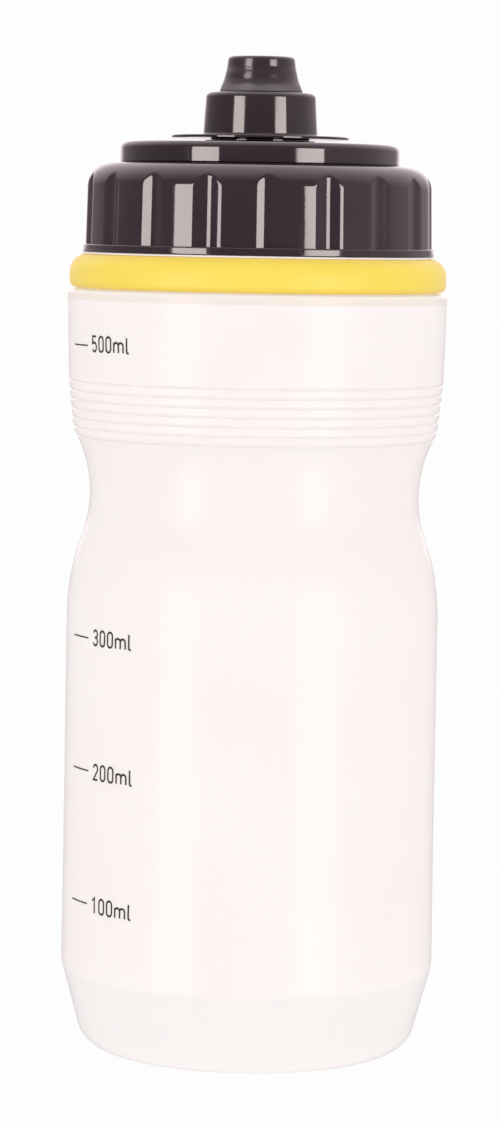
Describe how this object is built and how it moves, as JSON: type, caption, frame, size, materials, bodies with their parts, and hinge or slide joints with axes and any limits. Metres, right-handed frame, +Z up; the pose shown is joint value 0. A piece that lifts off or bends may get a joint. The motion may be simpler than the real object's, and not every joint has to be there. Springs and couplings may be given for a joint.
{
  "type": "bicycle water bottle",
  "caption": "Translucent squeeze bottle for a bicycle cage, with a fluted screw cap, a soft neck ring and a pull-up drinking spout.",
  "frame": {"origin": "centre of the base, in the plane of the ring that the bottle stands on", "axes": "+Z up along the axis of the bottle, towards the mouthpiece; the printed scale faces -Y and a little -X; +X to the right of that view"},
  "size_m": [0.0742, 0.0742, 0.1948],
  "materials": {
    "translucent_plastic": "translucent, softly glossy, blow-moulded",
    "yellow_rubber": "satin",
    "black_plastic": "glossy, injection-moulded",
    "soft_black_plastic": "satin",
    "seal_silicone": "matte"
  },
  "bodies": {
    "bottle": {"bottle_body": "translucent_plastic", "neck_ring": "yellow_rubber"},
    "cap_seal": {"cap_gasket": "seal_silicone"},
    "cap": {"cap_shell": "black_plastic", "valve_plate": "black_plastic", "hub_o_ring": "seal_silicone", "retaining_ring": "black_plastic", "valve_stem": "black_plastic"},
    "spout_seal": {"stem_o_ring": "seal_silicone"},
    "spout": {"spout_collar": "black_plastic", "bite_tip": "soft_black_plastic"}
  },
  "joints": [
    {"name": "cap_lift", "type": "slide", "parent": "bottle", "child": "cap_seal", "axis": [0, 0, 1], "range_m": [0, 0.015]},
    {"name": "cap_turn", "type": "hinge", "parent": "cap_seal", "child": "cap", "pos_m": [0, 0, 0.165], "axis": [0, 0, 1], "range_deg": [0, 900]},
    {"name": "spout_spin", "type": "hinge", "parent": "cap", "child": "spout_seal", "pos_m": [0, 0, 0.184], "axis": [0, 0, 1], "continuous": true},
    {"name": "spout_pull", "type": "slide", "parent": "spout_seal", "child": "spout", "axis": [0, 0, 1], "range_m": [0, 0.0055]}
  ],
  "couplings": [
    {"joint": "cap_turn", "follows": "cap_lift", "rad_per_m": 1047.2}
  ]
}
